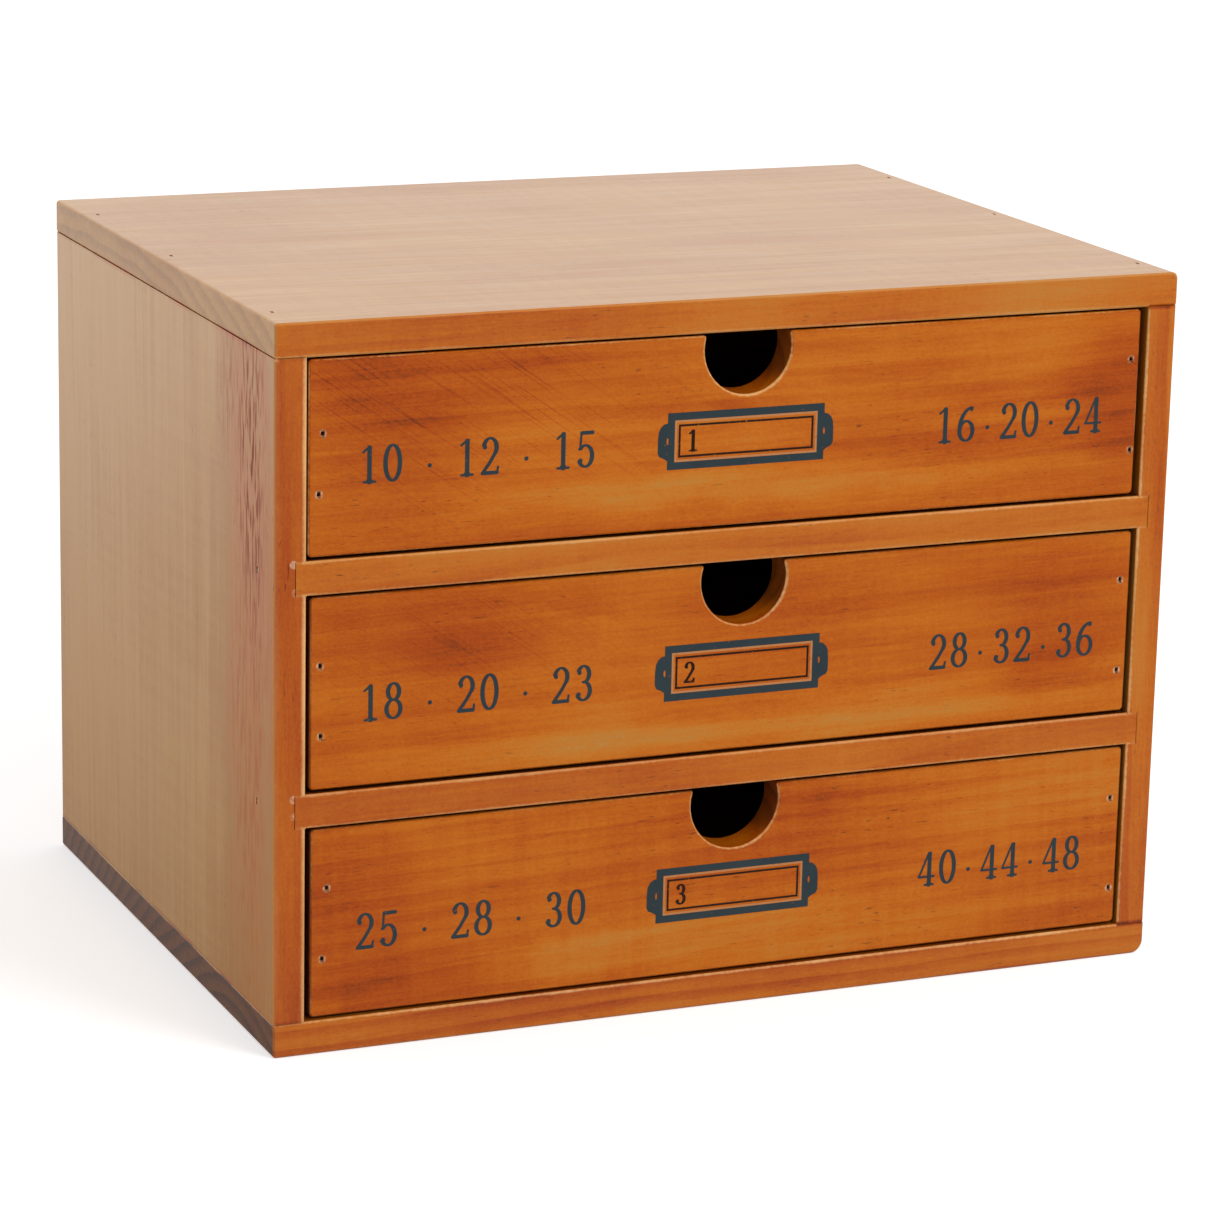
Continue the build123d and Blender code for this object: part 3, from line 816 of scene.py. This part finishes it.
def front_board(drawer):
    """The settings of a drawer front's finish, which its print shares."""
    name = f"{drawer}_front"
    low, high = (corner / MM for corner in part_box(name))
    middle = (low.x + high.x) / 2
    shift, drop, radius = NOTCHES[drawer]
    # The front's edges and back, behind its face, get painted shade, so that the gaps round the drawer look
    # dark.
    edges = (Vector((low.x - 1, low.y + DARK_FROM[drawer], low.z - 1)),
             Vector((high.x + 1, high.y - 0.3, high.z + 1)))
    return dict(
        grain="X", heart=FRONT_HEARTS[drawer], tone=0.5, rings=0.08, chatter=FRONT_CHATTER[drawer],
        brads=brads_in(f"{drawer}_front_brads"),
        patches=on_front(name, FRONT_PATCHES[drawer]),
        scratches=on_front(name, FRONT_SCRATCHES[drawer]),
        notch=((middle + shift, low.y, high.z - drop), radius), unsanded=edges, painted_shade_share=0.7)


for index, drawer in enumerate(DRAWERS):
    stained_board(f"{drawer}_front", **front_board(drawer))
    for piece, (grain, heart, tone) in BEHIND_FRONT.items():
        stained_board(f"{drawer}_{piece}", grain=grain, heart=Vector(heart) + index * FURTHER_UP_THE_TREE,
                      tone=tone, wear=0.4)
print(len(DRAWERS) * (1 + len(BEHIND_FRONT)), "boards of the drawers stained")


# %% [markdown]
# ## Plywood
#
# The case's back and the drawer bottoms are 3 mm plywood: three layers of peeled poplar,
# glued crosswise. Peeling follows the rings round the log, so its figure is broad and wavy
# and not striped, and its cut edges show the middle layer dark between two pale ones. It
# got a thin coat of the same stain and no lacquer to speak of.

# %% Peeled poplar plywood
PLY_STAIN = ((0.25, "#C98B48"), (0.5, "#B97637"), (0.75, "#9C5D28"))
PLY_CORE = linear("#6A3A18")
CORE_SHADE = 0.55
PLY_LAYER = 1.0
PLY_FIGURE = (140, 22)
PLY_FIBRES = (14, 0.6)
FIBRE_TONE, FIBRE_MEAN = 0.35, 0.17
FIBRE_RELIEF = 0.03  # in mm


def plywood(node_name, grain, face):
    """Dresses a sheet whose face points along one axis and whose outer grain along another."""
    material, tree = new_material("poplar plywood " + node_name.replace("_", " "))
    place = place_in_mm(tree)
    figure, fibres = [
        wood_noise(tree, place, [length if axis == grain else width for axis in "XYZ"], detail)
        for (length, width), detail in ((PLY_FIGURE, 4.0), (PLY_FIBRES, 2.0))]
    figure.inputs["Distortion"].default_value = 0.8
    tone = add(tree, "Math", {0: fibres, 1: FIBRE_TONE, 2: -FIBRE_MEAN}, operation="MULTIPLY_ADD")
    tone = add(tree, "Math", {0: figure, 1: tone}, operation="ADD")
    stain = add(tree, "ValToRGB", {"Fac": tone})
    stain.color_ramp.elements.new(0.5)
    for stop, (position, code) in zip(stain.color_ramp.elements, PLY_STAIN):
        stop.position = position
        stop.color = linear(code)

    low, high = (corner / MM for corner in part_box(node_name))
    axis = "XYZ".index(face)
    depth = add(tree, "SeparateXYZ", {0: place}).outputs[face]
    from_middle = add(tree, "Math", {0: depth, 1: (low[axis] + high[axis]) / 2}, operation="SUBTRACT")
    layer_out = add(tree, "Math", {0: from_middle}, operation="ABSOLUTE")
    core = add(tree, "Math", {0: layer_out, 1: PLY_LAYER / 2}, operation="LESS_THAN")
    core_shade = add(tree, "Math", {0: core, 1: CORE_SHADE}, operation="MULTIPLY")
    color = add(tree, "Mix", {"Factor": core_shade, "A": stain, "B": PLY_CORE}, data_type="RGBA")
    relief = add(tree, "Math", {0: fibres, 1: FIBRE_RELIEF}, operation="MULTIPLY")
    bump = add(tree, "Bump", {"Height": relief, "Distance": MM})
    shader = add(tree, "BsdfPrincipled", {
        "Base Color": color, "Roughness": 0.6, "Normal": bump, "IOR": 1.5, "Specular IOR Level": 0.25})
    add(tree, "OutputMaterial", {"Surface": shader})
    dress(node_name, material)


plywood("back_panel", grain="Z", face="Y")
for drawer in DRAWERS:
    plywood(f"{drawer}_bottom", grain="Y", face="Z")
print("plywood back and", len(DRAWERS), "plywood drawer bottoms")


# %% [markdown]
# ## Brads
#
# The brads are thin steel wire, flattened, cut off and shot in with an air gun. Bare steel
# wire dulls in the damp of the stain, so it is a dark, blotchy, half rough metal. On the
# fronts the holes are puttied, which leaves a short dark middle of each head to see.

# %% Dull steel wire
STEEL = linear("#5E5650")
TARNISH = linear("#2A1F18")
TARNISH_SCALE = 1.5
PUTTY = linear("#B98456")
PUTTY_FROM = (0.65, 0.75)  # mm from the middle of a head


def steel_wire(name, puttied=()):
    """Steel brads that the stain has dulled. Putty hides the ends of the heads that it fills."""
    material, tree = new_material(name)
    place = place_in_mm(tree)
    tarnish = add(tree, "TexNoise", {"Vector": place, "Scale": TARNISH_SCALE, "Detail": 2.0})
    color = add(tree, "Mix", {"Factor": tarnish, "A": STEEL, "B": TARNISH}, data_type="RGBA")
    rough = add(tree, "MapRange", {"Value": tarnish, "To Min": 0.35, "To Max": 0.65})
    metal = 1.0
    if puttied:
        away = brad_distance(tree, place, puttied)
        rough_edge = add(tree, "Math", {0: tarnish, 1: 0.3, 2: away}, operation="MULTIPLY_ADD")
        putty = add(tree, "MapRange", {"Value": rough_edge, "From Min": PUTTY_FROM[0],
                    "From Max": PUTTY_FROM[1]})
        color = add(tree, "Mix", {"Factor": putty, "A": color, "B": PUTTY}, data_type="RGBA")
        metal = add(tree, "Math", {0: 1.0, 1: putty}, operation="SUBTRACT")
    shader = add(tree, "BsdfPrincipled", {"Base Color": color, "Roughness": rough, "Metallic": metal})
    add(tree, "OutputMaterial", {"Surface": shader})
    return material


wire = steel_wire("dull steel wire")
brad_nodes = [name for name in nodes if name.endswith("brads")]
for name in brad_nodes:
    if name.endswith("front_brads"):
        dress(name, steel_wire("puttied steel wire " + name.replace("_", " "), brads_in(name)))
    else:
        dress(name, wire)
print(len(brad_nodes), "groups of brads")


# %% [markdown]
# ## The print
#
# Each front carries a print in slate-grey ink: the outline of an old label holder, with a
# number in it, and a row of button sizes on either side. The sizes are plain figures: the
# diameter in mm on the left, and the same in lignes, the button maker's measure, on the right.
#
# Screen-printed ink lies on the lacquer as a thin film, so each piece is modelled as one: a
# flat outline, merged from overlapping strokes and given a thickness. The figures are drawn
# with an oval pen that is wider than it is high. That makes their upright strokes thick and
# their level ones thin, as in a book face.

# %% Draw with an oval pen
PEN = Vector((0.062, 0.032))
HAIR = Vector((0.032, 0.032))
NIB_CORNERS = 12
ARC_STEP = math.radians(9)


def arc(centre, radii, start, stop):
    """Points along an oval from one angle to another, in degrees."""
    first, last = math.radians(start), math.radians(stop)
    count = max(2, round(abs(last - first) / ARC_STEP))
    angles = [first + (last - first) * index / count for index in range(count + 1)]
    return [Vector((centre[0] + radii[0] * math.cos(a), centre[1] + radii[1] * math.sin(a))) for a in angles]


def nib(point, pen):
    """The oval mark of a pen that stands still."""
    turns = [2 * math.pi * index / NIB_CORNERS for index in range(NIB_CORNERS)]
    return [Vector((point[0] + pen.x * math.cos(turn), point[1] + pen.y * math.sin(turn))) for turn in turns]


def stroke(points, pen=PEN):
    """The ink that an oval pen leaves: the outline round its marks at both ends of each run."""
    runs = []
    for start, stop in zip(points, points[1:]):
        marks = nib(start, pen) + nib(stop, pen)
        runs.append([marks[index] for index in convex_hull_2d(marks)])
    return runs


def disc(centre, radius):
    return [nib(centre, Vector((radius, radius)))]


def foot(x, half=0.15, level=HAIR.y, up=1):
    """A serif: a thin level stroke with a small bracket on each side of the stem."""
    brackets = [[(x + side * 0.8 * half, level), (x + side * 0.4 * PEN.x, level),
                 (x + side * 0.9 * PEN.x, level + up * 0.09)] for side in (-1, 1)]
    return stroke([(x - half, level), (x + half, level)], HAIR) + brackets


FIGURES = {  # one high, with their middle at x 0
    "0": stroke(arc((0, 0.5), (0.20, 0.474), 0, 360)),
    "1": stroke([(0.02, 0.0), (0.02, 0.97)]) + stroke([(-0.15, 0.83), (0.0, 0.95)], HAIR) + foot(0.02, 0.16),
    "2": disc((-0.15, 0.74), 0.062) + stroke(arc((0, 0.72), (0.18, 0.252), 165, -38))
         + stroke([(0.14, 0.565), (0.0, 0.33), (-0.19, 0.07)], HAIR * 1.5)
         + stroke([(-0.21, 0.045), (0.20, 0.045)], HAIR * 1.6) + stroke([(0.20, 0.03), (0.225, 0.19)], HAIR),
    "3": disc((-0.13, 0.79), 0.062) + stroke(arc((-0.01, 0.745), (0.16, 0.228), 155, -85))
         + stroke(arc((-0.01, 0.28), (0.19, 0.253), 88, -150)) + disc((-0.15, 0.19), 0.066),
    "4": stroke([(0.06, 0.96), (-0.22, 0.30)], HAIR) + stroke([(-0.235, 0.27), (0.24, 0.27)], HAIR)
         + stroke([(0.09, 0.0), (0.09, 0.97)]) + foot(0.09, 0.13),
    "5": stroke([(-0.12, 0.94), (0.19, 0.94)], HAIR * 1.6) + stroke([(-0.13, 0.94), (-0.155, 0.55)], HAIR)
         + stroke(arc((-0.01, 0.315), (0.195, 0.288), 140, -150)) + disc((-0.15, 0.19), 0.066),
    "6": stroke(arc((0.19, 0.33), (0.39, 0.62), 96, 182)) + disc((0.15, 0.90), 0.058)
         + stroke(arc((0, 0.30), (0.20, 0.274), 0, 360)),
    "8": stroke(arc((0, 0.745), (0.155, 0.228), 0, 360)) + stroke(arc((0, 0.275), (0.195, 0.25), 0, 360)),
}
print("figures:", " ".join(FIGURES))


# %% Turn flat outlines into a film of ink
FILM = 0.05  # above the wood; real ink is thinner, but this much catches the light as it does
SUNK = 0.02  # below the surface, so that no gap shows


def placed(outlines, origin, height=1.0):
    """Outlines that are one high, scaled and moved to their place on the front."""
    return [[Vector(origin) + Vector(point) * height for point in outline] for outline in outlines]


def box_outline(left, low, right, high):
    return [Vector((left, low)), Vector((right, low)), Vector((right, high)), Vector((left, high))]


def frame_outlines(half_width, half_height, bar):
    """The four bars of a frame round (0, 0), given its outer size."""
    x, y = half_width, half_height
    return [box_outline(-x, y - bar, x, y), box_outline(-x, -y, x, bar - y),
            box_outline(-x, -y, bar - x, y), box_outline(x - bar, -y, x, y)]


def ink_film(name, drawer, outlines, holes, material):
    """Merges outlines, in mm on the drawer's front, and makes a thin closed solid of them."""
    corners, faces = [], []
    for outline in outlines + holes:
        area = sum(a.cross(b) for a, b in zip(map(Vector, outline), map(Vector, outline[1:] + outline[:1])))
        turned = outline if area > 0 else outline[::-1]
        faces.append(list(range(len(corners), len(corners) + len(outline))))
        corners += [Vector(point) for point in turned]
    points, _, triangles, _, _, sources = delaunay_2d_cdt(corners, [], faces, 1, 1e-5)
    inked = [t for t, origin in zip(triangles, sources)
             if origin and all(index < len(outlines) for index in origin)]
    face_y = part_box(f"{drawer}_front")[0].y
    bm = bmesh.new()
    verts = [bm.verts.new((p.x * MM, face_y - FILM * MM, p.y * MM)) for p in points]
    for triangle in inked:
        bm.faces.new([verts[index] for index in triangle])
    bmesh.ops.delete(bm, geom=[v for v in bm.verts if not v.link_faces], context="VERTS")
    back = bmesh.ops.extrude_face_region(bm, geom=bm.faces[:] + bm.edges[:], use_keep_orig=True)
    bmesh.ops.translate(bm, vec=(0, (FILM + SUNK) * MM, 0),
                        verts=[v for v in back["geom"] if isinstance(v, bmesh.types.BMVert)])
    bmesh.ops.recalc_face_normals(bm, faces=bm.faces)
    mesh = bpy.data.meshes.new(name)
    bm.to_mesh(mesh)
    bm.free()
    mesh.materials.append(material)
    piece = bpy.data.objects.new(name, mesh)
    bpy.context.scene.collection.objects.link(piece)
    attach(piece, drawer)
    return piece


# %% [markdown]
# The ink is worn in the same places as the wood beneath it is, and there the wood shows. So
# the ink's material holds the front's own finish too, with the same settings, and mixes the
# two where a fine noise says that the film has gone.

# %% Worn slate-grey ink
INKS = {  # colour, colour where it faded, and the level of the noise above which it has worn off
    "slate": (linear("#2C383D"), linear("#364347"), 0.70),
    "brown": (linear("#2E1C14"), linear("#2E1C14"), 0.66),
    "pale": (linear("#BC7C4A"), linear("#BC7C4A"), 0.60),
}
INK_PIT = 0.9


def ink(name, drawer, full, faded, lost):
    """Ink over one front's wood, which shows where the ink is lost."""
    material, tree = new_material(name)
    finish = pine_nodes(tree, f"{drawer}_front", **front_board(drawer))
    place = place_in_mm(tree)
    pits = add(tree, "TexNoise", {"Vector": place, "Scale": 1 / INK_PIT, "Detail": 3.0})
    thin = add(tree, "TexNoise", {"Vector": place, "Scale": 0.12, "Detail": 2.0})
    film = add(tree, "Mix", {"Factor": thin, "A": full, "B": faded}, data_type="RGBA")
    gone = add(tree, "MapRange", {"Value": pits, "From Min": lost, "From Max": lost + 0.1, "To Max": 0.8})
    color = add(tree, "Mix", {"Factor": gone, "A": film, "B": finish.outputs["Color"]}, data_type="RGBA")
    lacquer(tree, color, finish, FRONT_SPECULAR, FRONT_COAT)
    return material


print(len(INKS), "inks")

# %% Print the fronts
FIGURE_HEIGHT = 9.7
NUMBER_HEIGHT = 5.7
DIGIT_PITCH = 6.4
PRINT = {  # the label's middle: x from the case's middle, and height above the front's lower edge
    "top_drawer": ((1.6, 23.35), "1", ("10", "12", "15"), ("16", "20", "24")),
    "middle_drawer": ((2.4, 22.25), "2", ("18", "20", "23"), ("28", "32", "36")),
    "bottom_drawer": ((1.6, 22.3), "3", ("25", "28", "30"), ("40", "44", "48")),
}
LEFT_ROW = (-107.2, -41.9, -5.2)  # from the label's middle: left and right end, and the line it stands on
RIGHT_ROW = (54.5, 105.5, -5.6)
LABEL_HALF = (22.3, 7.5)
LABEL_BAR = 2.0
PALE_BAR = 0.6
THIN_BAR = 0.55
THIN_HALF = (19.2, 4.35)
NUMBER_PLACE = (-15.3, -2.9)
SECOND_STRIKE = (0.22, 0)
EAR = [(0, 4.9), (1.2, 4.7), (2.2, 3.9), (2.8, 2.7), (3.0, 0.6), (3.0, -2.9), (2.5, -3.9), (1.3, -4.4),
       (0, -5.3)]
EAR_MARK = (0.3, 0.95)


def row_of_sizes(numbers, row):
    """Numbers spread evenly from one end of a row to the other, with a dot between them."""
    left, right, line = row
    first = left + DIGIT_PITCH / 2
    step = (right - left - 2 * DIGIT_PITCH) / (len(numbers) - 1)
    outlines = []
    for index, number in enumerate(numbers):
        start = first + index * step
        for place, digit in enumerate(number):
            outlines += placed(FIGURES[digit], (start + place * DIGIT_PITCH, line), FIGURE_HEIGHT)
        if index:
            between = start - (step - DIGIT_PITCH) / 2
            outlines += placed(disc((0, 0.36), 0.06), (between, line), FIGURE_HEIGHT)
    return outlines


def label_holder():
    """The outline of a label holder round (0, 0): its ink, and the marks left bare in its ears."""
    outlines = frame_outlines(*LABEL_HALF, LABEL_BAR)
    holes = []
    for side in (-1, 1):
        outlines.append([Vector((side * (LABEL_HALF[0] - 0.3 + x), y)) for x, y in EAR])
        holes.append(nib((side * LABEL_HALF[0], 0.1), Vector(EAR_MARK)))
    return outlines, holes


for drawer, (label, number, sizes, lignes) in PRINT.items():
    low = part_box(f"{drawer}_front")[0] / MM
    origin = Vector((label[0], low.z + label[1]))
    inks = {name: ink(f"{name} printing ink {drawer.replace('_', ' ')}", drawer, *look)
            for name, look in INKS.items()}
    holder, marks = (placed(outlines, origin) for outlines in label_holder())
    inner = (LABEL_HALF[0] - LABEL_BAR, LABEL_HALF[1] - LABEL_BAR)
    place = origin + Vector(NUMBER_PLACE)
    struck = placed(FIGURES[number], place, NUMBER_HEIGHT)
    struck += placed(FIGURES[number], place + Vector(SECOND_STRIKE), NUMBER_HEIGHT)
    films = {
        "label_holder": ("slate", holder),
        "label_pale_line": ("pale", placed(frame_outlines(*inner, PALE_BAR), origin)),
        "label_thin_line": ("brown", placed(frame_outlines(*THIN_HALF, THIN_BAR), origin)),
        "number": ("brown", struck),
        "sizes": ("slate", placed(row_of_sizes(sizes, LEFT_ROW), origin)),
        "lignes": ("slate", placed(row_of_sizes(lignes, RIGHT_ROW), origin)),
    }
    for piece, (color, outlines) in films.items():
        ink_film(f"{drawer}_{piece}", drawer, outlines, marks if piece == "label_holder" else [], inks[color])
    print(drawer, "printed round", [round(value, 1) for value in origin])
